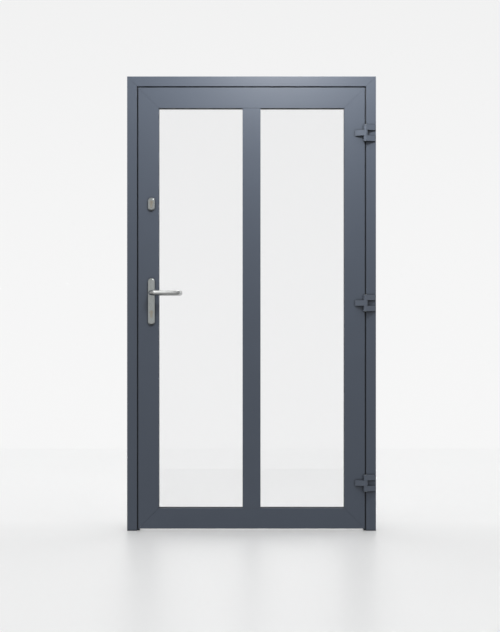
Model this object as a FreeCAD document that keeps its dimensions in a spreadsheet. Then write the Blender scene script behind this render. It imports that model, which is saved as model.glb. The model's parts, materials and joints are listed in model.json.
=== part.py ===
import FreeCAD, Part
import Sketcher
import math
import os
from types import SimpleNamespace

# A glazed aluminium door: one leaf with two tall panes beside a mullion, hung on three surface
# hinges in a three-sided frame without a threshold. A long-plate lever set works the lock.
# Lengths are millimetres. X runs to the right for someone who stands where the leaf opens to,
# Y runs away from them and Z runs up. The origin is on the outer side of the hinge jamb, at
# floor level, halfway through the depth of the frame.

DRIVING_SIZES = {
    # The frame and its hollow section
    "door_width": 1150,
    "door_height": 2100,
    "frame_depth": 50,
    "profile_wall": 2,
    "profile_edge_radius": 0.8,
    "frame_face": 45.5,
    "frame_step": 10.5,
    "stop_reach": 11.5,
    "stop_thickness": 7.5,
    "stop_floor_notch": 15,
    # The leaf and its hollow section
    "leaf_gap": 6,
    "floor_gap": 10,
    "leaf_face": 95,
    "leaf_box": 75,
    "leaf_flange": 7,
    "rebate_clearance": 7,
    "stop_clearance": 5.5,
    "seal_gap": 5.5,
    "glazing_leg": 9,
    "mullion_face": 83,
    "mullion_box": 40,
    "joint_gap": 0.4,
    "cutting_margin": 5,
    # Seals and glass
    "seal_running_gap": 0.5,
    "seal_width": 4,
    "seal_inset": 0.5,
    "glass_thickness": 4,
    "glass_cavity": 16,
    "glass_clearance": 5,
    "glazing_gasket": 4,
    "gasket_setback": 1,
    "spacer_width": 8,
    "bead_wall": 1.5,
    # Surface hinges
    "hinge_axis_forward": 12,
    "hinge_height": 75,
    "hinge_leaf_arm_height": 25.5,
    "hinge_knuckle_radius": 10,
    "hinge_knuckle_gap": 0.5,
    "hinge_pin_radius": 4,
    "hinge_pin_clearance": 0.05,
    "hinge_cap_radius": 6.5,
    "hinge_cap_height": 1,
    "hinge_leaf_arm_length": 48,
    "hinge_frame_arm_length": 45,
    "hinge_tip_thickness": 5,
    "hinge_web": 7,
    "bottom_hinge_level": 222,
    "middle_hinge_level": 1053,
    "top_hinge_drop": 262,
    # Handle plates, escutcheons and cylinders
    "lever_level": 1100,
    "lever_inset": 61,
    "plate_width": 30,
    "plate_above": 67.5,
    "plate_below": 148.5,
    "plate_thickness": 9,
    "plate_bevel_width": 5,
    "plate_bevel_depth": 3,
    "cylinder_drop": 90,
    "upper_cylinder_rise": 417,
    "escutcheon_above": 22,
    "escutcheon_below": 38,
    "cylinder_radius": 8.5,
    "cylinder_tail_width": 10,
    "cylinder_tail_drop": 24.5,
    "cylinder_proud": 1.5,
    "cylinder_clearance": 0.3,
    "plug_radius": 6,
    "plug_groove": 0.4,
    "plug_groove_depth": 0.6,
    "keyway_width": 1.8,
    "keyway_height": 8,
    "keyway_depth": 10,
    # Lever
    "lever_radius": 12,
    "lever_span": 127,
    "lever_stand_off": 48,
    "lever_bend_radius": 18,
    "lever_return_gap": 14,
    "lever_running_gap": 0.5,
    "lever_end_bevel": 1.5,
    "spindle_side": 8,
    "spindle_clearance": 0.1,
    "spindle_hole_radius": 6,
    "socket_depth": 20,
    # Locks and strike plates
    "lock_depth_place": 23.5,
    "faceplate_width": 22,
    "faceplate_thickness": 3,
    "faceplate_clearance": 0.2,
    "strike_depth_place": 27.5,
    "strike_width": 25,
    "main_faceplate_above": 77,
    "main_faceplate_below": 163,
    "upper_faceplate_reach": 70,
    "lock_case_thickness": 15,
    "lock_case_depth": 58,
    "lock_case_margin": 18,
    "follower_radius": 9,
    "follower_clearance": 0.2,
    "stile_bore_radius": 10.5,
    "bolt_width": 10,
    "bolt_proud": 1,
    "bolt_window_clearance": 0.2,
    "strike_window_clearance": 1.5,
    "latch_height": 32,
    "latch_rise": 40,
    "dead_bolt_height": 34,
    "dead_bolt_drop": 65,
    # Holes for the wall anchors
    "anchor_radius": 5.25,
    "anchor_depth_place": 27.5,
    "anchor_end_distance": 200,
}

ANCHORS_PER_JAMB = 4
PIECES = []


class Size:
    """A length in mm together with the sheet expression that it comes from."""

    def __init__(self, value, text):
        self.value = float(value)
        self.text = text

    def __add__(self, other):
        other = as_size(other)
        return Size(self.value + other.value, f"({self.text} + {other.text})")

    def __sub__(self, other):
        other = as_size(other)
        return Size(self.value - other.value, f"({self.text} - {other.text})")

    def __neg__(self):
        return Size(-self.value, f"(-1 * {self.text})")

    def __mul__(self, factor):
        return Size(self.value * factor, f"({self.text} * {factor})")

    def __truediv__(self, divisor):
        return Size(self.value / divisor, f"({self.text} / {divisor})")


def as_size(value):
    return value if isinstance(value, Size) else Size(value, str(value))


ZERO = as_size(0)

doc = FreeCAD.newDocument("AluminiumDoor")
sheet = doc.addObject("Spreadsheet::Sheet", "Sizes")
for row, (alias, length) in enumerate(DRIVING_SIZES.items(), start=1):
    sheet.set(f"A{row}", alias)
    sheet.set(f"B{row}", str(length))
    sheet.setAlias(f"B{row}", alias)
doc.recompute()
s = SimpleNamespace(**{alias: Size(getattr(sheet, alias), f"Sizes.{alias}") for alias in DRIVING_SIZES})

# Lines that several pieces share
front = -(s.frame_depth / 2)
head_top = s.door_height
hinge_side = ZERO
lock_side = -s.door_width
leaf_inset = s.frame_face + s.leaf_gap
leaf_hinge_edge = -leaf_inset
leaf_lock_edge = leaf_inset - s.door_width
leaf_bottom = s.floor_gap
leaf_top = s.door_height - leaf_inset
mullion_centre = (leaf_hinge_edge + leaf_lock_edge) / 2

# Depths of the section, measured from the front face
frame_step_depth = s.leaf_flange + s.seal_gap
stop_front_depth = s.frame_depth - s.stop_thickness
leaf_back_step_depth = stop_front_depth - s.seal_gap
glass_front_depth = s.glazing_leg + s.glazing_gasket
glass_back_depth = glass_front_depth + s.glass_thickness * 2 + s.glass_cavity
bead_front_depth = glass_back_depth + s.glazing_gasket

# Widths of the section: the frame's from its outer side, the leaf's from its own edge
frame_body_width = s.frame_face + s.frame_step
frame_stop_width = frame_body_width + s.stop_reach
leaf_body_edge = frame_body_width + s.rebate_clearance - leaf_inset
leaf_back_edge = frame_stop_width + s.stop_clearance - leaf_inset

# Places of the hardware
lever_x = leaf_lock_edge + s.lever_inset
cylinder_level = s.lever_level - s.cylinder_drop
upper_cylinder_level = s.lever_level + s.upper_cylinder_rise
hinge_axis_x = s.leaf_gap / 2 + leaf_hinge_edge
hinge_axis_y = front - s.hinge_axis_forward
faceplate_x = leaf_lock_edge + leaf_body_edge
strike_x = lock_side + frame_body_width
lock_y = front + s.lock_depth_place
strike_y = front + s.strike_depth_place


def new_body(label):
    body = doc.addObject("PartDesign::Body", label)
    body.Label = label
    PIECES.append(body)
    return body


def new_sketch(body, name, role, offset=ZERO):
    """A sketch on one of the body's own planes, moved along the plane's normal by the offset."""
    sketch = body.newObject("Sketcher::SketchObject", name)
    plane = next(feature for feature in body.Origin.OriginFeatures if feature.Role == role)
    sketch.AttachmentSupport = [(plane, "")]
    sketch.MapMode = "FlatFace"
    sketch.setExpression("AttachmentOffset.Base.z", offset.text)
    return sketch


def hold_length(sketch, kind, targets, size):
    number = sketch.addConstraint(Sketcher.Constraint(kind, *targets, size.value))
    sketch.setExpression(f"Constraints[{number}]", size.text)


def hold_point(sketch, geometry, position, point):
    """Ties a point of the geometry to its distances from the sketch's origin."""
    hold_length(sketch, "DistanceX", (-1, 1, geometry, position), point[0])
    hold_length(sketch, "DistanceY", (-1, 1, geometry, position), point[1])


def join_ends(sketch, kind, first, second):
    sketch.addConstraint(Sketcher.Constraint(kind, first, 2, second, 1))


def draw_polygon(sketch, points):
    first = sketch.GeometryCount
    count = len(points)
    corners = [FreeCAD.Vector(x.value, y.value, 0) for x, y in points]
    for i in range(count):
        sketch.addGeometry(Part.LineSegment(corners[i], corners[(i + 1) % count]), False)
    for i in range(count):
        join_ends(sketch, "Coincident", first + i, first + (i + 1) % count)
        hold_point(sketch, first + i, 1, points[i])


def draw_rectangle(sketch, low, high):
    draw_polygon(sketch, [low, (high[0], low[1]), high, (low[0], high[1])])


def circle_at(centre, radius):
    return Part.Circle(FreeCAD.Vector(centre[0].value, centre[1].value, 0), FreeCAD.Vector(0, 0, 1), radius.value)


def draw_circle(sketch, centre, radius):
    number = sketch.addGeometry(circle_at(centre, radius), False)
    hold_point(sketch, number, 3, centre)
    hold_length(sketch, "Radius", (number,), radius)


def draw_keyhole(sketch, centre, top_radius, tail_radius, tail_drop):
    """A round top with a straight tail below it that ends in a half circle."""
    across, up = centre[0].value, centre[1].value
    shoulder = math.sqrt(max(top_radius.value ** 2 - tail_radius.value ** 2, 0))
    turn = math.atan2(-shoulder, tail_radius.value)
    tail_centre = centre[1] - tail_drop + tail_radius
    right = across + tail_radius.value
    left = across - tail_radius.value
    first = sketch.GeometryCount
    sketch.addGeometry(Part.ArcOfCircle(circle_at(centre, top_radius), turn, math.pi - turn), False)
    sketch.addGeometry(Part.LineSegment(
        FreeCAD.Vector(left, up - shoulder, 0), FreeCAD.Vector(left, tail_centre.value, 0)), False)
    tail = circle_at((centre[0], tail_centre), tail_radius)
    sketch.addGeometry(Part.ArcOfCircle(tail, math.pi, 2 * math.pi), False)
    sketch.addGeometry(Part.LineSegment(
        FreeCAD.Vector(right, tail_centre.value, 0), FreeCAD.Vector(right, up - shoulder, 0)), False)
    same_width = top_radius.text == tail_radius.text
    side_joint = "Tangent" if same_width else "Coincident"
    join_ends(sketch, side_joint, first, first + 1)
    join_ends(sketch, "Tangent", first + 1, first + 2)
    join_ends(sketch, "Tangent", first + 2, first + 3)
    join_ends(sketch, side_joint, first + 3, first)
    for line in (first + 1, first + 3):
        sketch.addConstraint(Sketcher.Constraint("Vertical", line))
    hold_point(sketch, first, 3, centre)
    hold_length(sketch, "Radius", (first,), top_radius)
    hold_length(sketch, "DistanceY", (-1, 1, first + 2, 3), tail_centre)
    if not same_width:
        hold_length(sketch, "DistanceX", (-1, 1, first + 2, 3), centre[0])
        hold_length(sketch, "Radius", (first + 2,), tail_radius)


def draw_slot(sketch, across, low, high, radius):
    """An upright slot with half-round ends, from the level low to the level high."""
    draw_keyhole(sketch, (across, high - radius), radius, radius, high - low - radius)


def draw_cylinder_profile(sketch, centre, clearance=ZERO):
    """The outline of a profile cylinder, grown all round by the clearance."""
    draw_keyhole(
        sketch,
        centre,
        s.cylinder_radius + clearance,
        s.cylinder_tail_width / 2 + clearance,
        s.cylinder_tail_drop + clearance,
    )


def pad(body, sketch, length, symmetric=False, backwards=False):
    feature = body.newObject("PartDesign::Pad", sketch.Name + "_pad")
    feature.Profile = sketch
    feature.Reversed = backwards
    if symmetric:
        feature.SideType = "Symmetric"
    feature.Length = length.value
    feature.setExpression("Length", length.text)


def pocket_through(body, sketch):
    feature = body.newObject("PartDesign::Pocket", sketch.Name + "_pocket")
    feature.Profile = sketch
    feature.Type = "ThroughAll"
    feature.SideType = "Symmetric"


def pocket_about(body, sketch, reach):
    """A pocket that reaches equally far to both sides of its sketch."""
    feature = body.newObject("PartDesign::Pocket", sketch.Name + "_pocket")
    feature.Profile = sketch
    feature.SideType = "Symmetric"
    feature.Length = reach.value * 2
    feature.setExpression("Length", (reach * 2).text)


def add_to_edges(body, kind, spots):
    """A fillet or chamfer on the edges that pass through the spots, each an (x, y, z) of sizes."""
    doc.recompute()
    base = body.Tip
    vertices = [Part.Vertex(*(size.value for size in spot)) for spot in spots]
    names = []
    for number, edge in enumerate(base.Shape.Edges, start=1):
        if any(edge.distToShape(vertex)[0] < 0.001 for vertex in vertices):
            names.append(f"Edge{number}")
    feature = body.newObject(f"PartDesign::{kind}", f"{body.Name}_{kind}")
    feature.Base = (base, names)
    body.Tip = feature
    return feature


def round_edges(body, radius, spots):
    fillet = add_to_edges(body, "Fillet", spots)
    fillet.Radius = radius.value
    fillet.setExpression("Radius", radius.text)


def bevel_edges(body, width, depth, spots):
    """A flat bevel: the width lies in the front face, the depth in the side."""
    bevel = add_to_edges(body, "Chamfer", spots)
    bevel.ChamferType = "Two distances"
    bevel.Size = width.value
    bevel.Size2 = depth.value
    bevel.FlipDirection = True
    bevel.setExpression("Size", width.text)
    bevel.setExpression("Size2", depth.text)


def place(body, base, axis=FreeCAD.Vector(0, 0, 1), degrees=0):
    """Puts a piece that is drawn about its own origin where it belongs on the door."""
    body.Placement = FreeCAD.Placement(FreeCAD.Vector(0, 0, 0), FreeCAD.Rotation(axis, degrees))
    for name, size in zip("xyz", base):
        body.setExpression(f"Placement.Base.{name}", size.text)


def inset(points, wall):
    """The same stepped outline one wall further in; each side is parallel to an axis."""
    inner = []
    count = len(points)
    for i in range(count):
        here = points[i]
        moved = list(here)
        for start, end in ((points[i - 1], here), (here, points[(i + 1) % count])):
            along_x = end[0].value - start[0].value
            along_y = end[1].value - start[1].value
            if abs(along_x) > abs(along_y):
                moved[1] = here[1] + wall * math.copysign(1, along_x)
            else:
                moved[0] = here[0] - wall * math.copysign(1, along_y)
        inner.append(tuple(moved))
    return inner


def frame_section():
    """Corners of the jamb and head: width from the outer side, depth from the front."""
    return [
        (ZERO, ZERO),
        (s.frame_face, ZERO),
        (s.frame_face, frame_step_depth),
        (frame_body_width, frame_step_depth),
        (frame_body_width, stop_front_depth),
        (frame_stop_width, stop_front_depth),
        (frame_stop_width, s.frame_depth),
        (ZERO, s.frame_depth),
    ]


def leaf_section():
    """Corners of the stiles and rails: width from the leaf's edge, depth from the front."""
    return [
        (ZERO, ZERO),
        (s.leaf_face, ZERO),
        (s.leaf_face, s.glazing_leg),
        (s.leaf_box, s.glazing_leg),
        (s.leaf_box, s.frame_depth),
        (leaf_back_edge, s.frame_depth),
        (leaf_back_edge, leaf_back_step_depth),
        (leaf_body_edge, leaf_back_step_depth),
        (leaf_body_edge, s.leaf_flange),
        (ZERO, s.leaf_flange),
    ]


def mullion_section():
    """Corners of the mullion: width from its middle, depth from the front."""
    leg = s.mullion_face / 2
    box = s.mullion_box / 2
    return [
        (-leg, ZERO),
        (leg, ZERO),
        (leg, s.glazing_leg),
        (box, s.glazing_leg),
        (box, s.frame_depth),
        (-box, s.frame_depth),
        (-box, s.glazing_leg),
        (-leg, s.glazing_leg),
    ]


def bead_section():
    """Corners of a glazing bead: width from the box it is clipped to, depth from the front."""
    return [
        (ZERO, bead_front_depth),
        (s.leaf_face - s.leaf_box, bead_front_depth),
        (s.leaf_face - s.leaf_box, s.frame_depth),
        (ZERO, s.frame_depth),
    ]


def upright(section, outer, inward):
    """Section corners in the XY plane of a piece that stands, inward being +1 or -1 along X."""
    return [(outer + width * inward, front + depth) for width, depth in section]


def level(section, outer, inward):
    """Section corners in the YZ plane of a piece that lies, inward being +1 or -1 along Z."""
    return [(front + depth, outer + width * inward) for width, depth in section]


def hollow_length(body, role, section, place_section, wall, start, end):
    sketch = new_sketch(body, "section", role, start)
    draw_polygon(sketch, place_section(section))
    draw_polygon(sketch, place_section(inset(section, wall)))
    pad(body, sketch, end - start)


def standing_profile(label, section, outer, inward, low, high, rounded, wall=s.profile_wall):
    """A hollow upright; rounded lists the section corners whose long edges are softened."""
    body = new_body(label)
    hollow_length(body, "XY_Plane", section, lambda c: upright(c, outer, inward), wall, low, high)
    middle = (low + high) / 2
    spots = [(x, y, middle) for x, y in upright(rounded, outer, inward)]
    round_edges(body, s.profile_edge_radius, spots)
    return body


def lying_profile(label, section, outer, inward, left, right, rounded, wall=s.profile_wall):
    """A hollow horizontal; rounded lists the section corners whose long edges are softened."""
    body = new_body(label)
    hollow_length(body, "YZ_Plane", section, lambda c: level(c, outer, inward), wall, left, right)
    middle = (left + right) / 2
    spots = [(middle, y, z) for y, z in level(rounded, outer, inward)]
    round_edges(body, s.profile_edge_radius, spots)
    return body


def cut_mitre(body, corner, inward, reach, is_upright):
    """Cuts one end at 45 degrees from an outer corner, set back by the joint gap."""
    margin = s.cutting_margin
    points = [
        (-margin, s.joint_gap - margin),
        (reach, reach + s.joint_gap),
        (reach, s.joint_gap - margin),
    ]
    if not is_upright:
        points = [(second, first) for first, second in points]
    sketch = new_sketch(body, "mitre", "XZ_Plane")
    draw_polygon(sketch, [(corner[0] + x * inward[0], corner[1] + z * inward[1]) for x, z in points])
    pocket_through(body, sketch)


def cut_windows(body, x, reach, windows):
    """Rectangular openings through a plate or wall that faces along X, given by level and height."""
    for middle, height, clearance in windows:
        sketch = new_sketch(body, "window", "YZ_Plane", x)
        half_width = s.bolt_width / 2 + clearance
        half_height = height / 2 + clearance
        draw_rectangle(
            sketch,
            (lock_y - half_width, middle - half_height),
            (lock_y + half_width, middle + half_height),
        )
        pocket_about(body, sketch, reach)


def cut_plate_seat(body, x, y, width, low, high):
    """The slot in a wall that faces along X, in which a faceplate or strike plate lies flush."""
    sketch = new_sketch(body, "plate_seat", "YZ_Plane", x)
    clearance = s.faceplate_clearance
    draw_slot(sketch, y, low - clearance, high + clearance, width / 2 + clearance)
    pocket_about(body, sketch, s.faceplate_thickness)


def cut_anchor_holes(body):
    """Evenly spaced holes through the jamb, in the part that the closed leaf hides."""
    sketch = new_sketch(body, "anchor_holes", "YZ_Plane")
    run = s.door_height - s.anchor_end_distance * 2
    for step in range(ANCHORS_PER_JAMB):
        hole_level = s.anchor_end_distance + run * step / (ANCHORS_PER_JAMB - 1)
        draw_circle(sketch, (front + s.anchor_depth_place, hole_level), s.anchor_radius)
    pocket_through(body, sketch)


def cut_stop_notch(body, outer, inward):
    """Ends the stop a little above the floor."""
    sketch = new_sketch(body, "stop_notch", "XZ_Plane", -(front + stop_front_depth))
    inner_edge = outer + (frame_stop_width + s.cutting_margin) * inward
    corners = [
        (outer + frame_body_width * inward, -s.stop_floor_notch),
        (inner_edge, -s.stop_floor_notch),
        (inner_edge, s.stop_floor_notch),
        (outer + frame_body_width * inward, s.stop_floor_notch),
    ]
    draw_polygon(sketch, corners)
    pocket_about(body, sketch, s.stop_thickness * 2)


main_plate_low = s.lever_level - s.main_faceplate_below
main_plate_high = s.lever_level + s.main_faceplate_above
upper_plate_low = upper_cylinder_level - s.upper_faceplate_reach
upper_plate_high = upper_cylinder_level + s.upper_faceplate_reach
latch_level = s.lever_level + s.latch_rise
dead_bolt_level = s.lever_level - s.dead_bolt_drop


def build_frame():
    section = frame_section()
    rounded = section[:2] + section[-1:]
    reach = frame_stop_width + s.cutting_margin
    for label, outer, inward in (("hinge_jamb", hinge_side, -1), ("lock_jamb", lock_side, 1)):
        jamb = standing_profile(label, section, outer, inward, ZERO, head_top, rounded)
        cut_mitre(jamb, (outer, head_top), (inward, -1), reach, True)
        cut_stop_notch(jamb, outer, inward)
        cut_anchor_holes(jamb)
        if label == "lock_jamb":
            cut_plate_seat(jamb, strike_x, strike_y, s.strike_width, main_plate_low, main_plate_high)
            cut_plate_seat(jamb, strike_x, strike_y, s.strike_width, upper_plate_low, upper_plate_high)
    head = lying_profile("head", section, head_top, -1, lock_side, hinge_side, rounded)
    cut_mitre(head, (hinge_side, head_top), (-1, -1), reach, False)
    cut_mitre(head, (lock_side, head_top), (1, -1), reach, False)


def build_leaf_frame():
    section = leaf_section()
    rounded = section[:2]
    reach = s.leaf_face + s.cutting_margin
    for label, outer, inward in (("hinge_stile", leaf_hinge_edge, -1), ("lock_stile", leaf_lock_edge, 1)):
        stile = standing_profile(label, section, outer, inward, leaf_bottom, leaf_top, rounded)
        cut_mitre(stile, (outer, leaf_bottom), (inward, 1), reach, True)
        cut_mitre(stile, (outer, leaf_top), (inward, -1), reach, True)
        if label == "lock_stile":
            cut_lock_openings(stile)
    for label, outer, inward in (("bottom_rail", leaf_bottom, 1), ("top_rail", leaf_top, -1)):
        rail = lying_profile(label, section, outer, inward, leaf_lock_edge, leaf_hinge_edge, rounded)
        cut_mitre(rail, (leaf_hinge_edge, outer), (-1, inward), reach, False)
        cut_mitre(rail, (leaf_lock_edge, outer), (1, inward), reach, False)


def cut_lock_openings(stile):
    """What the lock and handle need in the stile: plate seats, cylinder holes and a spindle bore."""
    cut_plate_seat(stile, faceplate_x, lock_y, s.faceplate_width, main_plate_low, main_plate_high)
    cut_plate_seat(stile, faceplate_x, lock_y, s.faceplate_width, upper_plate_low, upper_plate_high)
    sketch = new_sketch(stile, "lock_holes", "XZ_Plane")
    draw_circle(sketch, (lever_x, s.lever_level), s.stile_bore_radius)
    draw_cylinder_profile(sketch, (lever_x, cylinder_level), s.cylinder_clearance)
    draw_cylinder_profile(sketch, (lever_x, upper_cylinder_level), s.cylinder_clearance)
    pocket_through(stile, sketch)


def build_mullion():
    """Butts on the rails: its box on their boxes, its front legs on their glazing legs."""
    section = mullion_section()
    low = leaf_bottom + s.leaf_box + s.joint_gap
    high = leaf_top - s.leaf_box - s.joint_gap
    body = standing_profile("mullion", section, mullion_centre, 1, low, high, section[:2])
    leg_depth = front + s.glazing_leg + s.joint_gap
    ahead = front - s.cutting_margin
    leg_low = leaf_bottom + s.leaf_face + s.joint_gap
    leg_high = leaf_top - s.leaf_face - s.joint_gap
    sketch = new_sketch(body, "end_laps", "YZ_Plane")
    draw_rectangle(sketch, (ahead, low - s.cutting_margin), (leg_depth, leg_low))
    draw_rectangle(sketch, (ahead, leg_high), (leg_depth, high + s.cutting_margin))
    pocket_through(body, sketch)


def panel(label, low, high, front_depth, back_depth, border=None):
    """A flat pane between two XZ corners and two depths, or only its border."""
    body = new_body(label)
    sketch = new_sketch(body, "outline", "XZ_Plane", -(front + back_depth))
    draw_rectangle(sketch, low, high)
    if border is not None:
        inner_low = (low[0] + border, low[1] + border)
        inner_high = (high[0] - border, high[1] - border)
        draw_rectangle(sketch, inner_low, inner_high)
    pad(body, sketch, back_depth - front_depth)


def build_glazing():
    """Two double-glazed units, each held between a front gasket and a rear one."""
    cavity_front = glass_front_depth + s.glass_thickness
    cavity_back = cavity_front + s.glass_cavity
    low_z = leaf_bottom + s.leaf_box
    high_z = leaf_top - s.leaf_box
    fields = (
        ("left", leaf_lock_edge + s.leaf_box, mullion_centre - s.mullion_box / 2),
        ("right", mullion_centre + s.mullion_box / 2, leaf_hinge_edge - s.leaf_box),
    )
    rear_border = s.leaf_face - s.leaf_box - s.glass_clearance
    front_border = rear_border - s.gasket_setback
    for side, left, right in fields:
        low = (left + s.glass_clearance, low_z + s.glass_clearance)
        high = (right - s.glass_clearance, high_z - s.glass_clearance)
        panel(f"{side}_front_gasket", low, high, s.glazing_leg, glass_front_depth, front_border)
        panel(f"{side}_front_glass", low, high, glass_front_depth, cavity_front)
        panel(f"{side}_spacer", low, high, cavity_front, cavity_back, s.spacer_width)
        panel(f"{side}_rear_glass", low, high, cavity_back, glass_back_depth)
        panel(f"{side}_rear_gasket", low, high, glass_back_depth, bead_front_depth, rear_border)


def build_beads():
    """Clip-in bars behind the glass; the upright ones stand between the lying ones."""
    section = bead_section()
    rounded = section[2:3]
    bar = s.leaf_face - s.leaf_box
    low = leaf_bottom + s.leaf_box + bar + s.joint_gap
    high = leaf_top - s.leaf_box - bar - s.joint_gap
    stile_faces = (
        ("lock_stile_bead", leaf_lock_edge + s.leaf_box, 1),
        ("hinge_stile_bead", leaf_hinge_edge - s.leaf_box, -1),
        ("mullion_left_bead", mullion_centre - s.mullion_box / 2, -1),
        ("mullion_right_bead", mullion_centre + s.mullion_box / 2, 1),
    )
    for label, outer, inward in stile_faces:
        standing_profile(label, section, outer, inward, low, high, rounded, s.bead_wall)
    fields = (
        ("left", leaf_lock_edge + s.leaf_box, mullion_centre - s.mullion_box / 2),
        ("right", mullion_centre + s.mullion_box / 2, leaf_hinge_edge - s.leaf_box),
    )
    for side, left, right in fields:
        for label, outer, inward in (
            (f"{side}_bottom_bead", leaf_bottom + s.leaf_box, 1),
            (f"{side}_top_bead", leaf_top - s.leaf_box, -1),
        ):
            lying_profile(label, section, outer, inward, left, right, rounded, s.bead_wall)


def draw_arch(sketch, left, right, top, bottom, width):
    """An upside-down U of the given width, open at the bottom."""
    draw_polygon(sketch, [
        (left, bottom),
        (left, top),
        (right, top),
        (right, bottom),
        (right - width, bottom),
        (right - width, top - width),
        (left + width, top - width),
        (left + width, bottom),
    ])


def build_seals():
    """The leaf's seal behind its flange and the frame's seal in front of its stop."""
    seal_depth = s.seal_gap - s.seal_running_gap
    leaf_seal = new_body("leaf_seal")
    edge = s.seal_inset
    sketch = new_sketch(leaf_seal, "arch", "XZ_Plane", -(front + s.leaf_flange))
    draw_arch(
        sketch,
        leaf_lock_edge + edge,
        leaf_hinge_edge - edge,
        leaf_top - edge,
        leaf_bottom + edge,
        s.seal_width,
    )
    pad(leaf_seal, sketch, seal_depth, backwards=True)
    frame_seal = new_body("frame_seal")
    edge = frame_stop_width - s.seal_width - s.seal_inset
    sketch = new_sketch(frame_seal, "arch", "XZ_Plane", -(front + stop_front_depth))
    draw_arch(
        sketch,
        lock_side + edge,
        hinge_side - edge,
        head_top - edge,
        s.stop_floor_notch,
        s.seal_width,
    )
    pad(frame_seal, sketch, seal_depth)


def draw_arm(sketch, length):
    """A wedge along the face that rises to the knuckle and turns round it; the axis is the origin."""
    radius = s.hinge_knuckle_radius.value
    face = s.hinge_axis_forward
    tip_y = face - s.hinge_tip_thickness
    tip = FreeCAD.Vector(-length.value, tip_y.value, 0)
    reach = math.hypot(tip.x, tip.y)
    touch_angle = math.atan2(tip.y, tip.x) + math.acos(radius / reach)
    touch = FreeCAD.Vector(radius * math.cos(touch_angle), radius * math.sin(touch_angle), 0)
    web = s.hinge_web.value
    web_top = math.sqrt(radius ** 2 - web ** 2)
    web_angle = math.atan2(web_top, -web)
    knuckle = circle_at((ZERO, ZERO), s.hinge_knuckle_radius)
    base_tip = FreeCAD.Vector(-length.value, face.value, 0)
    base_web = FreeCAD.Vector(-web, face.value, 0)
    sketch.addGeometry(Part.LineSegment(base_tip, tip), False)
    sketch.addGeometry(Part.LineSegment(tip, touch), False)
    sketch.addGeometry(Part.ArcOfCircle(knuckle, touch_angle, web_angle + 2 * math.pi), False)
    sketch.addGeometry(Part.LineSegment(FreeCAD.Vector(-web, web_top, 0), base_web), False)
    sketch.addGeometry(Part.LineSegment(base_web, base_tip), False)
    join_ends(sketch, "Coincident", 0, 1)
    join_ends(sketch, "Tangent", 1, 2)
    join_ends(sketch, "Coincident", 2, 3)
    join_ends(sketch, "Coincident", 3, 4)
    join_ends(sketch, "Coincident", 4, 0)
    sketch.addConstraint(Sketcher.Constraint("Vertical", 3))
    hold_point(sketch, 2, 3, (ZERO, ZERO))
    hold_length(sketch, "Radius", (2,), s.hinge_knuckle_radius)
    hold_point(sketch, 0, 1, (-length, face))
    hold_point(sketch, 0, 2, (-length, tip_y))
    hold_point(sketch, 3, 2, (-s.hinge_web, face))


def build_arm(label, length, height):
    body = new_body(label)
    sketch = new_sketch(body, "arm", "XY_Plane")
    draw_arm(sketch, length)
    pad(body, sketch, height, symmetric=True)
    bore = new_sketch(body, "bore", "XY_Plane")
    draw_circle(bore, (ZERO, ZERO), s.hinge_pin_radius + s.hinge_pin_clearance)
    pocket_through(body, bore)
    return body


def build_hinge(name, hinge_level):
    """Two arms on the frame and one on the leaf between them, all on one pin."""
    base = (hinge_axis_x, hinge_axis_y, hinge_level)
    leaf_arm = build_arm(f"{name}_hinge_leaf_arm", s.hinge_leaf_arm_length, s.hinge_leaf_arm_height)
    place(leaf_arm, base)
    frame_arms = build_arm(f"{name}_hinge_frame_arms", s.hinge_frame_arm_length, s.hinge_height)
    recess = new_sketch(frame_arms, "recess", "XZ_Plane")
    half_height = s.hinge_leaf_arm_height / 2 + s.hinge_knuckle_gap
    left = -(s.hinge_frame_arm_length + s.cutting_margin)
    right = s.hinge_knuckle_radius + s.cutting_margin
    draw_rectangle(recess, (left, -half_height), (right, half_height))
    pocket_through(frame_arms, recess)
    place(frame_arms, base, FreeCAD.Vector(0, 1, 0), 180)
    pin = new_body(f"{name}_hinge_pin")
    half = s.hinge_height / 2
    sketch = new_sketch(pin, "half_outline", "XZ_Plane")
    draw_polygon(sketch, [
        (ZERO, -half - s.hinge_cap_height),
        (s.hinge_cap_radius, -half - s.hinge_cap_height),
        (s.hinge_cap_radius, -half),
        (s.hinge_pin_radius, -half),
        (s.hinge_pin_radius, half),
        (s.hinge_cap_radius, half),
        (s.hinge_cap_radius, half + s.hinge_cap_height),
        (ZERO, half + s.hinge_cap_height),
    ])
    turned = pin.newObject("PartDesign::Revolution", "turned")
    turned.Profile = sketch
    turned.ReferenceAxis = (sketch, ["V_Axis"])
    turned.Angle = 360
    place(pin, base)


def build_cover(label, above, below, base, turn, cylinder_centre, has_spindle):
    """A handle plate or escutcheon with half-round ends and a bevel round its front."""
    body = new_body(label)
    outer = s.frame_depth / 2
    sketch = new_sketch(body, "outline", "XZ_Plane", outer)
    draw_slot(sketch, ZERO, -below, above, s.plate_width / 2)
    pad(body, sketch, s.plate_thickness)
    face = -(outer + s.plate_thickness)
    side = s.plate_width / 2
    middle = (above - below) / 2
    spots = [(side, face, middle), (-side, face, middle), (ZERO, face, above), (ZERO, face, -below)]
    bevel_edges(body, s.plate_bevel_width, s.plate_bevel_depth, spots)
    holes = new_sketch(body, "holes", "XZ_Plane")
    draw_cylinder_profile(holes, (ZERO, cylinder_centre), s.cylinder_clearance)
    if has_spindle:
        draw_circle(holes, (ZERO, ZERO), s.spindle_hole_radius)
    pocket_through(body, holes)
    place(body, base, degrees=turn)


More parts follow.
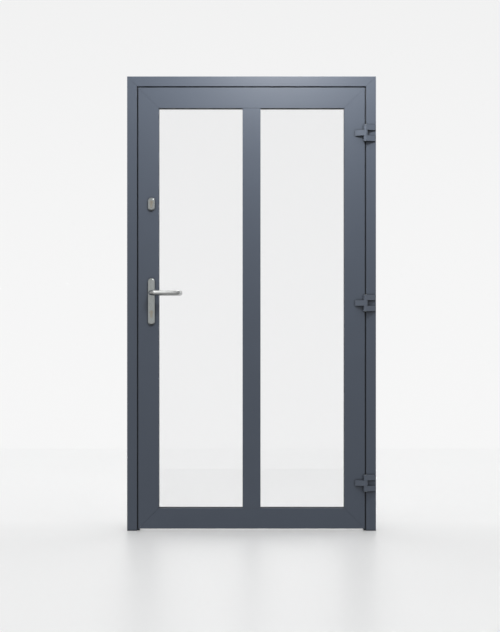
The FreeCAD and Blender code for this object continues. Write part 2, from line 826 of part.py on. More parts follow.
def build_cylinder(label, cylinder_base):
    """A profile cylinder that goes right through, with a plug and a keyway at each end."""
    body = new_body(label)
    half = s.frame_depth / 2 + s.plate_thickness + s.cylinder_proud
    sketch = new_sketch(body, "outline", "XZ_Plane")
    draw_cylinder_profile(sketch, (ZERO, ZERO))
    pad(body, sketch, half * 2, symmetric=True)
    for end in (half, -half):
        groove = new_sketch(body, "plug_groove", "XZ_Plane", end)
        draw_circle(groove, (ZERO, ZERO), s.plug_radius)
        draw_circle(groove, (ZERO, ZERO), s.plug_radius - s.plug_groove)
        pocket_about(body, groove, s.plug_groove_depth)
        keyway = new_sketch(body, "keyway", "XZ_Plane", end)
        width = s.keyway_width / 2
        height = s.keyway_height / 2
        draw_rectangle(keyway, (-width, -height), (width, height))
        pocket_about(body, keyway, s.keyway_depth)
    place(body, cylinder_base)


def build_handle_covers():
    lever_base = (lever_x, ZERO, s.lever_level)
    upper_base = (lever_x, ZERO, upper_cylinder_level)
    for side, turn in (("front", 0), ("rear", 180)):
        build_cover(
            f"{side}_handle_plate",
            s.plate_above,
            s.plate_below,
            lever_base,
            turn,
            cylinder_centre=-s.cylinder_drop,
            has_spindle=True,
        )
        build_cover(
            f"{side}_escutcheon",
            s.escutcheon_above,
            s.escutcheon_below,
            upper_base,
            turn,
            cylinder_centre=ZERO,
            has_spindle=False,
        )
    build_cylinder("main_cylinder", (lever_x, ZERO, cylinder_level))
    build_cylinder("upper_cylinder", upper_base)


def draw_lever_path(sketch):
    """Out from the plate, round a bend, along the grip, round a bend and back to the leaf."""
    start = -(s.frame_depth / 2 + s.plate_thickness + s.lever_running_gap)
    grip = -(s.frame_depth / 2 + s.lever_stand_off)
    bend = s.lever_bend_radius
    end = -(s.frame_depth / 2 + s.lever_return_gap)
    points = [
        (ZERO, start),
        (ZERO, grip + bend),
        (bend, grip),
        (s.lever_span - bend, grip),
        (s.lever_span, grip + bend),
        (s.lever_span, end),
    ]
    spots = [FreeCAD.Vector(x.value, y.value, 0) for x, y in points]
    near = circle_at((bend, grip + bend), bend)
    far = circle_at((s.lever_span - bend, grip + bend), bend)
    quarter = math.pi / 2
    sketch.addGeometry(Part.LineSegment(spots[0], spots[1]), False)
    sketch.addGeometry(Part.ArcOfCircle(near, 2 * quarter, 3 * quarter), False)
    sketch.addGeometry(Part.LineSegment(spots[2], spots[3]), False)
    sketch.addGeometry(Part.ArcOfCircle(far, 3 * quarter, 4 * quarter), False)
    sketch.addGeometry(Part.LineSegment(spots[4], spots[5]), False)
    for number in range(4):
        join_ends(sketch, "Tangent", number, number + 1)
    sketch.addConstraint(Sketcher.Constraint("Vertical", 0))
    sketch.addConstraint(Sketcher.Constraint("Horizontal", 2))
    sketch.addConstraint(Sketcher.Constraint("Vertical", 4))
    hold_point(sketch, 0, 1, points[0])
    hold_point(sketch, 4, 2, points[5])
    hold_length(sketch, "DistanceY", (-1, 1, 2, 1), grip)
    hold_length(sketch, "Radius", (1,), bend)
    hold_length(sketch, "Radius", (3,), bend)


def build_lever(label, turn):
    """A round bar bent to a U, with a square socket for the spindle in its neck."""
    body = new_body(label)
    start = s.frame_depth / 2 + s.plate_thickness + s.lever_running_gap
    path = new_sketch(body, "path", "XY_Plane")
    draw_lever_path(path)
    ring = new_sketch(body, "ring", "XZ_Plane", start)
    draw_circle(ring, (ZERO, ZERO), s.lever_radius)
    pipe = body.newObject("PartDesign::AdditivePipe", "bar")
    pipe.Profile = ring
    pipe.Spine = (path, [])
    end = -(s.frame_depth / 2 + s.lever_return_gap)
    bevel_edges(body, s.lever_end_bevel, s.lever_end_bevel, [(s.lever_span, end, s.lever_radius)])
    socket = new_sketch(body, "socket", "XZ_Plane", start)
    half = s.spindle_side / 2 + s.spindle_clearance
    draw_rectangle(socket, (-half, -half), (half, half))
    pocket_about(body, socket, s.socket_depth)
    place(body, (lever_x, ZERO, s.lever_level), FreeCAD.Vector(1, 0, 0), turn)


def build_lever_set():
    build_lever("front_lever", 0)
    build_lever("rear_lever", 180)
    base = (lever_x, ZERO, s.lever_level)
    spindle = new_body("spindle")
    half_length = s.frame_depth / 2 + s.plate_thickness + s.lever_running_gap + s.socket_depth
    sketch = new_sketch(spindle, "square", "XZ_Plane")
    half = s.spindle_side / 2
    draw_rectangle(sketch, (-half, -half), (half, half))
    pad(spindle, sketch, (half_length - s.spindle_clearance) * 2, symmetric=True)
    place(spindle, base)
    follower = new_body("lock_follower")
    sketch = new_sketch(follower, "ring", "XZ_Plane", -lock_y)
    draw_circle(sketch, (ZERO, ZERO), s.follower_radius)
    hole = half + s.spindle_clearance
    draw_rectangle(sketch, (-hole, -hole), (hole, hole))
    pad(follower, sketch, s.lock_case_thickness, symmetric=True)
    place(follower, base)


def build_bolt_plate(label, outer, inward, y, width, low, high, windows):
    """A slim plate with half-round ends, flush in its wall, with a window for each bolt."""
    body = new_body(label)
    sketch = new_sketch(body, "outline", "YZ_Plane", outer)
    draw_slot(sketch, y, low, high, width / 2)
    pad(body, sketch, s.faceplate_thickness, backwards=inward < 0)
    cut_windows(body, outer, s.faceplate_thickness * 2, windows)


def build_case(label, low, high, cylinder_centre, has_follower):
    """The closed box of a lock, behind its faceplate, with holes for cylinder and follower."""
    body = new_body(label)
    sketch = new_sketch(body, "outline", "XZ_Plane", -lock_y)
    left = faceplate_x + s.faceplate_thickness
    draw_rectangle(sketch, (left, low), (left + s.lock_case_depth, high))
    pad(body, sketch, s.lock_case_thickness, symmetric=True)
    holes = new_sketch(body, "holes", "XZ_Plane")
    draw_cylinder_profile(holes, (lever_x, cylinder_centre), s.cylinder_clearance)
    if has_follower:
        draw_circle(holes, (lever_x, s.lever_level), s.follower_radius + s.follower_clearance)
    pocket_through(body, holes)


def build_bolt(label, middle, height):
    """A bolt drawn back into its lock, its nose just proud of the faceplate."""
    body = new_body(label)
    sketch = new_sketch(body, "outline", "YZ_Plane", faceplate_x - s.bolt_proud)
    half_width = s.bolt_width / 2
    draw_rectangle(
        sketch,
        (lock_y - half_width, middle - height / 2),
        (lock_y + half_width, middle + height / 2),
    )
    pad(body, sketch, s.faceplate_thickness + s.bolt_proud)


def build_locks():
    margin = s.lock_case_margin
    close = s.bolt_window_clearance
    wide = s.strike_window_clearance
    main_windows = ((latch_level, s.latch_height), (dead_bolt_level, s.dead_bolt_height))
    upper_windows = ((upper_cylinder_level, s.dead_bolt_height),)
    for name, low, high, windows in (
        ("main", main_plate_low, main_plate_high, main_windows),
        ("upper", upper_plate_low, upper_plate_high, upper_windows),
    ):
        snug = [(middle, height, close) for middle, height in windows]
        roomy = [(middle, height, wide) for middle, height in windows]
        build_bolt_plate(f"{name}_faceplate", faceplate_x, 1, lock_y, s.faceplate_width, low, high, snug)
        build_bolt_plate(f"{name}_strike_plate", strike_x, -1, strike_y, s.strike_width, low, high, roomy)
    build_case("main_lock_case", main_plate_low + margin, main_plate_high - margin, cylinder_level, True)
    upper_case_low = upper_plate_low + margin
    upper_case_high = upper_plate_high - margin
    build_case("upper_lock_case", upper_case_low, upper_case_high, upper_cylinder_level, False)
    build_bolt("latch_bolt", latch_level, s.latch_height)
    build_bolt("main_dead_bolt", dead_bolt_level, s.dead_bolt_height)
    build_bolt("upper_dead_bolt", upper_cylinder_level, s.dead_bolt_height)


def check_document():
    """Stops before anything is written if a feature failed or a piece is no sound solid."""
    doc.recompute()
    for item in doc.Objects:
        if "Invalid" in item.State or "Error" in item.State:
            raise RuntimeError(f"{item.Label} did not recompute: {item.State}")
    for piece in PIECES:
        if piece.Shape.isNull() or not piece.Shape.isValid() or not piece.Shape.Solids:
            raise RuntimeError(f"{piece.Label} is not a valid solid")


def export_pieces():
    os.makedirs("parts", exist_ok=True)
    for piece in PIECES:
        piece.Shape.exportStep(f"parts/{piece.Label}.step")
        box = piece.Shape.BoundBox
        print(
            f"{piece.Label}: {len(piece.Shape.Solids)} solid(s), {piece.Shape.Volume / 1000:.1f} cm3, "
            f"x {box.XMin:.1f}..{box.XMax:.1f} y {box.YMin:.1f}..{box.YMax:.1f} "
            f"z {box.ZMin:.1f}..{box.ZMax:.1f}"
        )
    print(f"{len(PIECES)} pieces")


build_frame()
build_leaf_frame()
build_mullion()
build_glazing()
build_beads()
build_seals()
build_hinge("top", s.door_height - s.top_hinge_drop)
build_hinge("middle", s.middle_hinge_level)
build_hinge("bottom", s.bottom_hinge_level)
build_handle_covers()
build_locks()
build_lever_set()
check_document()
export_pieces()
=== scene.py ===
import json
import math

import bmesh
import bpy
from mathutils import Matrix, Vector


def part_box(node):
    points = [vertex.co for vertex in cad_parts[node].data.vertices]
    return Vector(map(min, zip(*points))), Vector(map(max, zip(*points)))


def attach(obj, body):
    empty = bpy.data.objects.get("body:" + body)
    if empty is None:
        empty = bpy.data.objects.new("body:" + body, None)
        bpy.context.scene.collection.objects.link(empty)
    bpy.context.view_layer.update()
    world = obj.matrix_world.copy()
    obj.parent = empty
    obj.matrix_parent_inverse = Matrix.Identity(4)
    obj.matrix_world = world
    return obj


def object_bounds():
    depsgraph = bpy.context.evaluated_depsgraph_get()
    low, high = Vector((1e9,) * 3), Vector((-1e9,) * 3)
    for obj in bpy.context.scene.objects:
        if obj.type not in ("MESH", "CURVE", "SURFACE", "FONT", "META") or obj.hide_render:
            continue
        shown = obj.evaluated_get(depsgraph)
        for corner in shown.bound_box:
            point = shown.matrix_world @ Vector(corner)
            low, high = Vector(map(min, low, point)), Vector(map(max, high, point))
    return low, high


# Looks for a glazed aluminium door: satin anthracite powder coat, stainless handle parts, nickel-brass
# cylinders, clear double glazing and black seals, with the small fasteners that hold the ironmongery.
# Lengths are metres, X to the right, Y away from the viewer, Z up from the floor.

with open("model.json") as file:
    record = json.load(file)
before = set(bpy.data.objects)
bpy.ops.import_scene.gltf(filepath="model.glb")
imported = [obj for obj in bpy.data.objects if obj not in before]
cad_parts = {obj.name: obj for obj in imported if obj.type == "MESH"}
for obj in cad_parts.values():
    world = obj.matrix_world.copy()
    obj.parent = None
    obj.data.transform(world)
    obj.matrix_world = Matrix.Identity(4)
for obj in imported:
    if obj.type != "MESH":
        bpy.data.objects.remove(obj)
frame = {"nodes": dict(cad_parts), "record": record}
packed_low, packed_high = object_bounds()
MM = 0.001

# The camera stands square to the door, level, a little left of its middle.
CAMERA_DISTANCE = 6.5
CAMERA_HEIGHT = 0.9928
CAMERA_LEFT_OF_MIDDLE = 0.0071
PICTURE_HEIGHT_AT_DOOR = 2.9207

# The studio: a pale floor that curves up into the backdrop.
SWEEP_HALF_WIDTH = 9.0
SWEEP_FRONT = -2.6
SWEEP_BACK = 9.0
SWEEP_RADIUS = 5.0
SWEEP_TOP = 9.0
SWEEP_ARC_STEPS = 24

WHITE = (1.0, 1.0, 1.0, 1.0)

# The coated parts' lamps: a soft box over the head and a long one near the ceiling.
KEY_LIGHT_PLACE = (-0.41, -1.1, 2.70)
KEY_LIGHT_TARGET = (-0.41, 0.0, 2.2)
KEY_LIGHT_SIZE = (0.45, 0.35)
KEY_LIGHT_WATTS = 27.0
CEILING_LIGHT_PLACE = (-0.55, -0.45, 3.7)
CEILING_LIGHT_TARGET = (-0.55, -0.45, 0.0)
CEILING_LIGHT_SIZE = (3.4, 0.8)
CEILING_LIGHT_WATTS = 26.0
# The handle's own lamps on either side: a small one for the plates, a soft box and a bounce for the lever.
PLATE_LAMP_WAY = Vector((0.46, -0.47, 0.74))
PLATE_LAMP_REACH = 2.0
PLATE_LAMP_SIZE = (0.3, 0.3)
PLATE_LAMP_WATTS = 3.6
LEVER_BOX_WAY = Vector((0.0, -0.67, 0.74))
LEVER_BOX_REACH = 1.0
LEVER_BOX_ASIDE = -0.25
LEVER_BOX_SIZE = (0.4, 1.6)
LEVER_BOX_WATTS = 3.4
LEVER_BOUNCE_WAY = Vector((0.0, -0.75, -0.66))
LEVER_BOUNCE_REACH = 0.8
LEVER_BOUNCE_SIZE = (1.2, 1.2)
LEVER_BOUNCE_WATTS = 1.1
# The room's brightness, and the same by the height of a direction (-1 straight down, 1 straight up), as it
# lights matt faces and as polished faces mirror it.
ROOM_LIGHT = 1.07
ROOM_ON_MATT = ((-0.5, 0.15), (-0.05, 0.75), (0.1, 1.07))
ROOM_MIRRORED = ((-0.85, 0.04), (-0.5, 0.24), (0.0, 0.58), (0.4, 0.42))
# The floor also glows, more behind the door, as (y, glow) pairs say. Under the leaf it glows more still, by a
# share of LEAF_GLOW that (y, share) pairs give and that fades over the edge's width at both sides.
FLOOR_PALENESS = 0.75
FLOOR_GLOW = ((-0.3, 0.05), (0.0, 0.06), (0.3, 0.1), (1.0, 0.105))
LEAF_GLOW = 0.11
LEAF_GLOW_DEPTH = ((-0.03, 0.0), (0.01, 1.0), (0.08, 1.0), (0.25, 0.1), (0.9, 0.0))
LEAF_GLOW_EDGE = 0.02
# The backdrop is mostly a lit wall.
BACKDROP_PALENESS = 0.2
BACKDROP_GLOW = 0.715

# Noise seldom leaves this range.
NOISE_LOW = 0.3
NOISE_HIGH = 0.7

# Powder coat: its unevenness of colour, its roughness, the height and strength of its orange peel, and how
# far from another face painted shade darkens its colour, as in gaps and corners.
COAT_CLOUDINESS = 0.04
COAT_ROUGHNESS = (0.38, 0.42)
COAT_PEEL = 0.03 * MM
COAT_PEEL_STRENGTH = 0.35
PAINTED_SHADE_REACH = 12.0 * MM
PAINTED_SHADE_SAMPLES = 8

# Bare metal, seals, glass and the studio's paint, which has a trace less red than green and blue.
METAL_RELIEF = 0.01 * MM
RUBBER_BLACK = (0.004, 0.004, 0.004)
RUBBER_BLOOM = (0.008, 0.008, 0.009)
RUBBER_ROUGHNESS = (0.6, 0.8)
RUBBER_GLOSS = 0.25
RUBBER_RELIEF = 0.03 * MM
RUBBER_RELIEF_STRENGTH = 0.4
GLASS_TINT = (0.967, 0.968, 0.970, 1.0)
PAINT_COOLNESS = 1.004
PAINT_ROUGHNESS = (0.36, 0.40)
# Glass and powder coat bend light alike.
REFRACTION = 1.5

# Raised countersunk screws. The cross recess is as long as a share of the head's radius and stays above the
# plate, into which the head sinks by a share of its rise.
SCREW_HEAD_RADIUS = 4.2 * MM
SCREW_SIDES = 32
SCREW_RINGS = 5
SCREW_RISE = 0.9 * MM
SCREW_SINK = 0.4
SCREW_RECESS_LENGTH = 1.25
SCREW_RECESS_WIDTH = 1.1 * MM
SCREW_RECESS_DEPTH = 0.75 * MM
SCREW_SEED = 5
# The screw through the lock's edge that holds the cylinder, below the middle of its plug.
CYLINDER_SCREW_DROP = 19.5 * MM


def surface(name):
    """A new material with its node tree emptied but for a Principled shader; returns all three."""
    material = bpy.data.materials.new(name)
    material.use_nodes = True
    tree = material.node_tree
    tree.nodes.clear()
    output = tree.nodes.new("ShaderNodeOutputMaterial")
    shader = tree.nodes.new("ShaderNodeBsdfPrincipled")
    tree.links.new(shader.outputs["BSDF"], output.inputs["Surface"])
    return material, tree, shader


def grain(tree, scale, detail=2.0, stretch=(1.0, 1.0, 1.0)):
    """Noise on the piece's own coordinates, in cycles per metre; stretch draws it out along an axis."""
    place = tree.nodes.new("ShaderNodeTexCoord")
    mapping = tree.nodes.new("ShaderNodeMapping")
    mapping.inputs["Scale"].default_value = stretch
    noise = tree.nodes.new("ShaderNodeTexNoise")
    noise.inputs["Scale"].default_value = scale
    noise.inputs["Detail"].default_value = detail
    tree.links.new(place.outputs["Object"], mapping.inputs["Vector"])
    tree.links.new(mapping.outputs["Vector"], noise.inputs["Vector"])
    return noise.outputs["Fac"]


def vary(tree, factor, low, high, socket):
    """Drives a number socket between low and high."""
    spread = tree.nodes.new("ShaderNodeMapRange")
    spread.inputs["From Min"].default_value = NOISE_LOW
    spread.inputs["From Max"].default_value = NOISE_HIGH
    spread.inputs["To Min"].default_value = low
    spread.inputs["To Max"].default_value = high
    tree.links.new(factor, spread.inputs["Value"])
    tree.links.new(spread.outputs["Result"], socket)


def tint(tree, factor, dark, light, socket):
    """Drives a colour socket between two colours."""
    mix = tree.nodes.new("ShaderNodeMix")
    mix.data_type = "RGBA"
    mix.inputs["A"].default_value = (*dark, 1.0)
    mix.inputs["B"].default_value = (*light, 1.0)
    tree.links.new(factor, mix.inputs["Factor"])
    tree.links.new(mix.outputs["Result"], socket)


def emboss(tree, factor, height, shader, strength):
    """Turns noise into a relief of the given height in metres."""
    bump = tree.nodes.new("ShaderNodeBump")
    bump.inputs["Strength"].default_value = strength
    bump.inputs["Distance"].default_value = height
    tree.links.new(factor, bump.inputs["Height"])
    tree.links.new(bump.outputs["Normal"], shader.inputs["Normal"])


def shade(colour, factor):
    """The colour made lighter or darker by a factor."""
    return tuple(channel * factor for channel in colour)


def powder_coat(name, colour):
    """Satin polyester powder: even colour, painted shade in gaps, soft gloss and a faint orange peel."""
    material, tree, shader = surface(name)
    # Painted shade: an occlusion node darkens the coat's colour near other faces, in gaps, corners and under
    # parts.
    painted_shade = tree.nodes.new("ShaderNodeAmbientOcclusion")
    painted_shade.samples = PAINTED_SHADE_SAMPLES
    painted_shade.inputs["Distance"].default_value = PAINTED_SHADE_REACH
    dark = shade(colour, 1 - COAT_CLOUDINESS)
    light = shade(colour, 1 + COAT_CLOUDINESS)
    clouds = grain(tree, 9.0)
    tint(tree, clouds, dark, light, painted_shade.inputs["Color"])
    tree.links.new(painted_shade.outputs["Color"], shader.inputs["Base Color"])
    sheen = grain(tree, 260.0)
    vary(tree, sheen, *COAT_ROUGHNESS, shader.inputs["Roughness"])
    shader.inputs["IOR"].default_value = REFRACTION
    peel = grain(tree, 700.0, 3.0)
    emboss(tree, peel, COAT_PEEL, shader, COAT_PEEL_STRENGTH)
    return material


def metal(name, cycles, detail, dark, light, roughness, relief=0.0, stretch=(1.0, 1.0, 1.0)):
    """Bare metal whose colour, roughness and relief follow one noise; relief is how strongly it shows."""
    material, tree, shader = surface(name)
    noise = grain(tree, cycles, detail, stretch)
    tint(tree, noise, dark, light, shader.inputs["Base Color"])
    vary(tree, noise, *roughness, shader.inputs["Roughness"])
    shader.inputs["Metallic"].default_value = 1.0
    if relief:
        emboss(tree, noise, METAL_RELIEF, shader, relief)
    return material


def seal_rubber():
    """Black weather seal with a dusty bloom."""
    material, tree, shader = surface("seal_rubber")
    bloom = grain(tree, 120.0, 3.0)
    tint(tree, bloom, RUBBER_BLACK, RUBBER_BLOOM, shader.inputs["Base Color"])
    vary(tree, bloom, *RUBBER_ROUGHNESS, shader.inputs["Roughness"])
    shader.inputs["Specular IOR Level"].default_value = RUBBER_GLOSS
    pores = grain(tree, 1500.0)
    emboss(tree, pores, RUBBER_RELIEF, shader, RUBBER_RELIEF_STRENGTH)
    return material


def float_glass():
    """Clear glass, barely tinted, that lets the lamps' light through."""
    material, tree, shader = surface("float_glass")
    shader.inputs["Base Color"].default_value = GLASS_TINT
    shader.inputs["Roughness"].default_value = 0.0
    shader.inputs["IOR"].default_value = REFRACTION
    shader.inputs["Transmission Weight"].default_value = 1.0
    path = tree.nodes.new("ShaderNodeLightPath")
    clear = tree.nodes.new("ShaderNodeBsdfTransparent")
    mix = tree.nodes.new("ShaderNodeMixShader")
    output = next(node for node in tree.nodes if node.type == "OUTPUT_MATERIAL")
    tree.links.new(path.outputs["Is Shadow Ray"], mix.inputs[0])
    tree.links.new(shader.outputs["BSDF"], mix.inputs[1])
    tree.links.new(clear.outputs["BSDF"], mix.inputs[2])
    tree.links.new(mix.outputs["Shader"], output.inputs["Surface"])
    return material


def studio_paint(name, paleness):
    """The pale paint of the floor and backdrop. Its glow is white, and its strength is still to be set."""
    material, tree, shader = surface(name)
    cool = paleness * PAINT_COOLNESS
    shader.inputs["Base Color"].default_value = (paleness, cool, cool, 1.0)
    shader.inputs["Emission Color"].default_value = WHITE
    vary(tree, grain(tree, 0.7), *PAINT_ROUGHNESS, shader.inputs["Roughness"])
    return material, tree, shader


COAT = powder_coat("anthracite_coat", (0.0642, 0.0796, 0.1075))
HINGE_COAT = powder_coat("hinge_coat", (0.079, 0.095, 0.124))
# Stainless steel brushed along the door's height.
BRUSHED = metal("satin_stainless", cycles=900.0, detail=3.0, stretch=(1.0, 1.0, 0.03),
                dark=(0.585, 0.615, 0.605), light=(0.695, 0.73, 0.72), roughness=(0.26, 0.38), relief=0.3)
# The lever's bar, ground round its length.
BAR = metal("turned_stainless", cycles=900.0, detail=3.0, stretch=(0.06, 1.0, 1.0),
            dark=(0.57, 0.58, 0.57), light=(0.67, 0.68, 0.67), roughness=(0.24, 0.34), relief=0.25)
# Brass under thin matt nickel, warmer than the steel around it.
NICKEL = metal("matt_nickel_brass", cycles=400.0, detail=4.0,
               dark=(0.60, 0.565, 0.48), light=(0.70, 0.665, 0.58), roughness=(0.30, 0.42), relief=0.3)
# Bright zinc on steel, with the cloudy grain of the plating bath.
ZINC = metal("zinc_plate", cycles=220.0, detail=4.0,
             dark=(0.48, 0.50, 0.52), light=(0.62, 0.63, 0.64), roughness=(0.28, 0.45), relief=0.2)
# Plain drawn aluminium, streaked along its length.
SPACER = metal("mill_aluminium", cycles=500.0, detail=3.0, stretch=(1.0, 1.0, 0.05),
               dark=(0.66, 0.67, 0.68), light=(0.78, 0.79, 0.80), roughness=(0.35, 0.5))
SEAL = seal_rubber()
GLASS = float_glass()

SLOT_FINISH = {
    "anthracite_coating": COAT,
    "hinge_coating": HINGE_COAT,
    "satin_steel": BRUSHED,
    "nickel_brass": NICKEL,
    "zinc_plate": ZINC,
    "black_rubber": SEAL,
    "clear_glass": GLASS,
    "spacer_bar": SPACER,
}


def finish_packed_parts():
    """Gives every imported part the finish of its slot; the two levers get their own grinding."""
    for part in frame["record"]["subparts"]:
        materials = frame["nodes"][part["node"]].data.materials
        finish = BAR if part["node"].endswith("_lever") else SLOT_FINISH[part["material_slot"]]
        for index in range(len(materials)):
            materials[index] = finish


def screw_tree():
    """One screw head on every point of a mesh, turned to the point's own "facing" direction."""
    tree = bpy.data.node_groups.new("cross_recess_screws", "GeometryNodeTree")
    tree.interface.new_socket("Places", in_out="INPUT", socket_type="NodeSocketGeometry")
    for name in ("Head Radius", "Rise", "Recess Width", "Recess Depth"):
        tree.interface.new_socket(name, in_out="INPUT", socket_type="NodeSocketFloat")
    tree.interface.new_socket("Seed", in_out="INPUT", socket_type="NodeSocketInt")
    tree.interface.new_socket("Finish", in_out="INPUT", socket_type="NodeSocketMaterial")
    tree.interface.new_socket("Screws", in_out="OUTPUT", socket_type="NodeSocketGeometry")
    given = tree.nodes.new("NodeGroupInput").outputs
    link = tree.links.new

    def node(kind, **settings):
        made = tree.nodes.new(kind)
        for name, value in settings.items():
            setattr(made, name, value)
        return made

    def maths(operation, first, second):
        made = node("ShaderNodeMath", operation=operation)
        for socket, value in zip(made.inputs, (first, second)):
            if isinstance(value, float):
                socket.default_value = value
            else:
                link(value, socket)
        return made.outputs["Value"]

    # The head: a short drum whose top face is crowned by the rise.
    drum = node("GeometryNodeMeshCylinder", fill_type="TRIANGLE_FAN")
    drum.inputs["Vertices"].default_value = SCREW_SIDES
    drum.inputs["Fill Segments"].default_value = SCREW_RINGS
    link(given["Head Radius"], drum.inputs["Radius"])
    link(given["Rise"], drum.inputs["Depth"])
    place = node("GeometryNodeInputPosition")
    axes = node("ShaderNodeSeparateXYZ")
    link(place.outputs["Position"], axes.inputs["Vector"])
    across = maths("MULTIPLY", axes.outputs["X"], axes.outputs["X"])
    along = maths("MULTIPLY", axes.outputs["Y"], axes.outputs["Y"])
    square = maths("MULTIPLY", given["Head Radius"], given["Head Radius"])
    crown = maths("SUBTRACT", 1.0, maths("DIVIDE", maths("ADD", across, along), square))
    is_top = maths("GREATER_THAN", axes.outputs["Z"], 0.0)
    lift = node("ShaderNodeCombineXYZ")
    link(maths("MULTIPLY", maths("MULTIPLY", crown, given["Rise"]), is_top), lift.inputs["Z"])
    crowned = node("GeometryNodeSetPosition")
    link(drum.outputs["Mesh"], crowned.inputs["Geometry"])
    link(lift.outputs["Vector"], crowned.inputs["Offset"])
    rim = maths("MULTIPLY", given["Rise"], 0.5)
    peak = maths("ADD", given["Rise"], rim)

    # The recess: two crossed bars, cut down from the crown's highest point.
    cut = node("GeometryNodeMeshBoolean", operation="DIFFERENCE", solver="EXACT")
    link(crowned.outputs["Geometry"], cut.inputs["Mesh 1"])
    bar_length = maths("MULTIPLY", given["Head Radius"], SCREW_RECESS_LENGTH)
    bar_depth = maths("MULTIPLY", given["Recess Depth"], 2.0)
    for width, length in ((given["Recess Width"], bar_length), (bar_length, given["Recess Width"])):
        size = node("ShaderNodeCombineXYZ")
        link(width, size.inputs["X"])
        link(length, size.inputs["Y"])
        link(bar_depth, size.inputs["Z"])
        bar = node("GeometryNodeMeshCube")
        link(size.outputs["Vector"], bar.inputs["Size"])
        centre = node("ShaderNodeCombineXYZ")
        link(peak, centre.inputs["Z"])
        moved = node("GeometryNodeTransform")
        link(bar.outputs["Mesh"], moved.inputs["Geometry"])
        link(centre.outputs["Vector"], moved.inputs["Translation"])
        link(moved.outputs["Geometry"], cut.inputs["Mesh 2"])

    # Sunk until only the crown and a hair of the rim stand out of the plate.
    sink = node("ShaderNodeCombineXYZ")
    link(maths("MULTIPLY", given["Rise"], -SCREW_SINK), sink.inputs["Z"])
    head = node("GeometryNodeTransform")
    link(cut.outputs["Mesh"], head.inputs["Geometry"])
    link(sink.outputs["Vector"], head.inputs["Translation"])

    # Each head faces its own way and is turned about it by chance.
    facing = node("GeometryNodeInputNamedAttribute", data_type="FLOAT_VECTOR")
    facing.inputs["Name"].default_value = "facing"
    aim = node("FunctionNodeAlignRotationToVector", axis="Z")
    link(facing.outputs["Attribute"], aim.inputs["Vector"])
    chance = node("FunctionNodeRandomValue", data_type="FLOAT")
    chance.inputs["Max"].default_value = math.radians(90)
    link(given["Seed"], chance.inputs["Seed"])
    twist = node("FunctionNodeAxisAngleToRotation")
    twist.inputs["Axis"].default_value = (0.0, 0.0, 1.0)
    link(next(out for out in chance.outputs if out.enabled), twist.inputs["Angle"])
    turned = node("FunctionNodeRotateRotation", rotation_space="LOCAL")
    link(aim.outputs["Rotation"], turned.inputs["Rotation"])
    link(twist.outputs["Rotation"], turned.inputs["Rotate By"])

    scatter = node("GeometryNodeInstanceOnPoints")
    link(given["Places"], scatter.inputs["Points"])
    link(head.outputs["Geometry"], scatter.inputs["Instance"])
    link(turned.outputs["Rotation"], scatter.inputs["Rotation"])
    realize = node("GeometryNodeRealizeInstances")
    finish = node("GeometryNodeSetMaterial")
    link(scatter.outputs["Instances"], realize.inputs["Geometry"])
    link(realize.outputs["Geometry"], finish.inputs["Geometry"])
    link(given["Finish"], finish.inputs["Material"])
    link(finish.outputs["Geometry"], tree.nodes.new("NodeGroupOutput").inputs["Screws"])
    return tree


def drive_screws(name, body, slot, tree, screws):
    """Bakes one mesh of screws for a body; each screw is a place and the direction it faces."""
    points = bpy.data.meshes.new(name + "_places")
    points.from_pydata([place for place, facing in screws], [], [])
    directions = points.attributes.new("facing", "FLOAT_VECTOR", "POINT")
    for row, (place, facing) in zip(directions.data, screws):
        row.vector = facing
    maker = bpy.data.objects.new(name + "_maker", points)
    bpy.context.scene.collection.objects.link(maker)
    modifier = maker.modifiers.new("screws", "NODES")
    modifier.node_group = tree
    values = {
        "Head Radius": SCREW_HEAD_RADIUS,
        "Rise": SCREW_RISE,
        "Recess Width": SCREW_RECESS_WIDTH,
        "Recess Depth": SCREW_RECESS_DEPTH,
        "Seed": SCREW_SEED,
        "Finish": SLOT_FINISH[slot],
    }
    for socket in tree.interface.items_tree:
        if socket.name in values:
            modifier[socket.identifier] = values[socket.name]
    evaluated = maker.evaluated_get(bpy.context.evaluated_depsgraph_get())
    baked = bpy.data.meshes.new_from_object(evaluated)
    bpy.data.objects.remove(maker)
    baked.materials.clear()
    baked.materials.append(SLOT_FINISH[slot])
    for face in baked.polygons:
        face.material_index = 0
    piece = bpy.data.objects.new(name, baked)
    bpy.context.scene.collection.objects.link(piece)
    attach(piece, body)


def plate_ends(node, facing):
    """Places and facing of two screws, at the centres of a standing plate's half-round ends."""
    low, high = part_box(node)
    middle = (low + high) / 2
    outward = Vector(facing)
    face = middle + outward * abs(outward.dot(high - low)) / 2
    end_radius = (high.y - low.y if outward.x else high.x - low.x) / 2
    levels = (low.z + end_radius, high.z - end_radius)
    return [(Vector((face.x, face.y, level)), outward) for level in levels]


def fit_screws():
    """Lock faceplates and rear handle plate on the leaf, strike plates on the frame."""
    tree = screw_tree()
    toward_jamb = (-1.0, 0.0, 0.0)
    toward_leaf = (1.0, 0.0, 0.0)
    faceplate_screws = plate_ends("main_faceplate", toward_jamb)
    cylinder_low, cylinder_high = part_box("main_cylinder")
    plug_radius = (cylinder_high.x - cylinder_low.x) / 2
    cylinder_screw = faceplate_screws[0][0].copy()
    cylinder_screw.z = cylinder_high.z - plug_radius - CYLINDER_SCREW_DROP
    leaf_screws = faceplate_screws + [(cylinder_screw, Vector(toward_jamb))]
    leaf_screws += plate_ends("upper_faceplate", toward_jamb)
    leaf_screws += plate_ends("rear_handle_plate", (0.0, 1.0, 0.0))
    strike_screws = plate_ends("main_strike_plate", toward_leaf)
    strike_screws += plate_ends("upper_strike_plate", toward_leaf)
    drive_screws("leaf_screws", "leaf", "satin_steel", tree, leaf_screws)
    drive_screws("strike_plate_screws", "frame", "satin_steel", tree, strike_screws)


